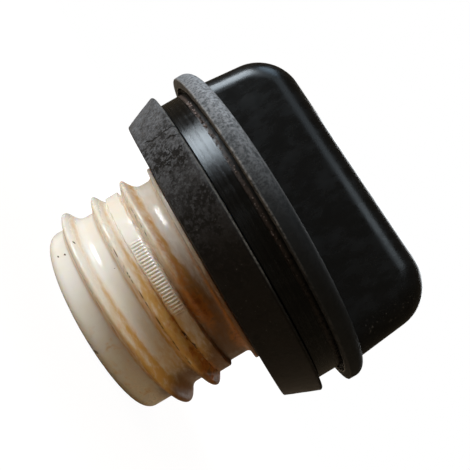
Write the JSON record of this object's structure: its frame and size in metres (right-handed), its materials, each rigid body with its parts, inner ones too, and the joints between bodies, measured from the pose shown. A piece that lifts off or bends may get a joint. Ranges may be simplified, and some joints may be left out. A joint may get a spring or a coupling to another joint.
{
  "type": "fuel cap",
  "caption": "Screw-in fuel tank cap: threaded ivory plug with pressure and vacuum valves, thick rubber seal, black ratcheting cap with a bar handle.",
  "frame": {"origin": "centre of the flat ring at the open end of the plug, which is the lowest face", "axes": "+Z along the screw axis from the plug's end to the handle, +X along the bar handle, +Y across it"},
  "size_m": [0.084, 0.084, 0.072],
  "materials": {
    "ivory_plug": "stained ivory moulding, satin",
    "seal_rubber": "dusty, rubbed, finely cracked",
    "black_cap": "polished black moulding, light dust",
    "spring_steel": "bright drawn steel",
    "white_slip_plastic": "smooth",
    "inner_plastic": "as moulded",
    "valve_plastic": "as moulded",
    "valve_rubber": "smooth"
  },
  "bodies": {
    "plug": {"plug_body": "ivory_plug", "seal_ring": "seal_rubber", "slip_washer": "white_slip_plastic", "valve_housing": "valve_plastic", "housing_o_ring": "valve_rubber", "pressure_spring": "spring_steel", "spring_keeper": "valve_plastic", "valve_guard": "valve_plastic"},
    "grip": {"grip_cap": "black_cap", "retaining_ring": "spring_steel", "inner_cover": "inner_plastic", "ratchet_ring": "inner_plastic"},
    "pressure_valve": {"pressure_plate": "valve_plastic", "pressure_seal": "valve_rubber", "vacuum_spring": "spring_steel"},
    "vacuum_valve": {"vacuum_poppet": "valve_plastic", "vacuum_seal": "valve_rubber", "vacuum_clip": "spring_steel"}
  },
  "joints": [
    {"name": "grip_turn", "type": "hinge", "parent": "plug", "child": "grip", "pos_m": [0, 0, 0.0455], "axis": [0, 0, 1], "continuous": true},
    {"name": "pressure_relief", "type": "slide", "parent": "plug", "child": "pressure_valve", "axis": [0, 0, 1], "range_m": [0, 0.002], "stiffness_N_per_m": 300, "deforming": ["pressure_spring"]},
    {"name": "vacuum_relief", "type": "slide", "parent": "pressure_valve", "child": "vacuum_valve", "axis": [0, 0, -1], "range_m": [0, 0.0013], "stiffness_N_per_m": 60, "deforming": ["vacuum_spring"]}
  ]
}
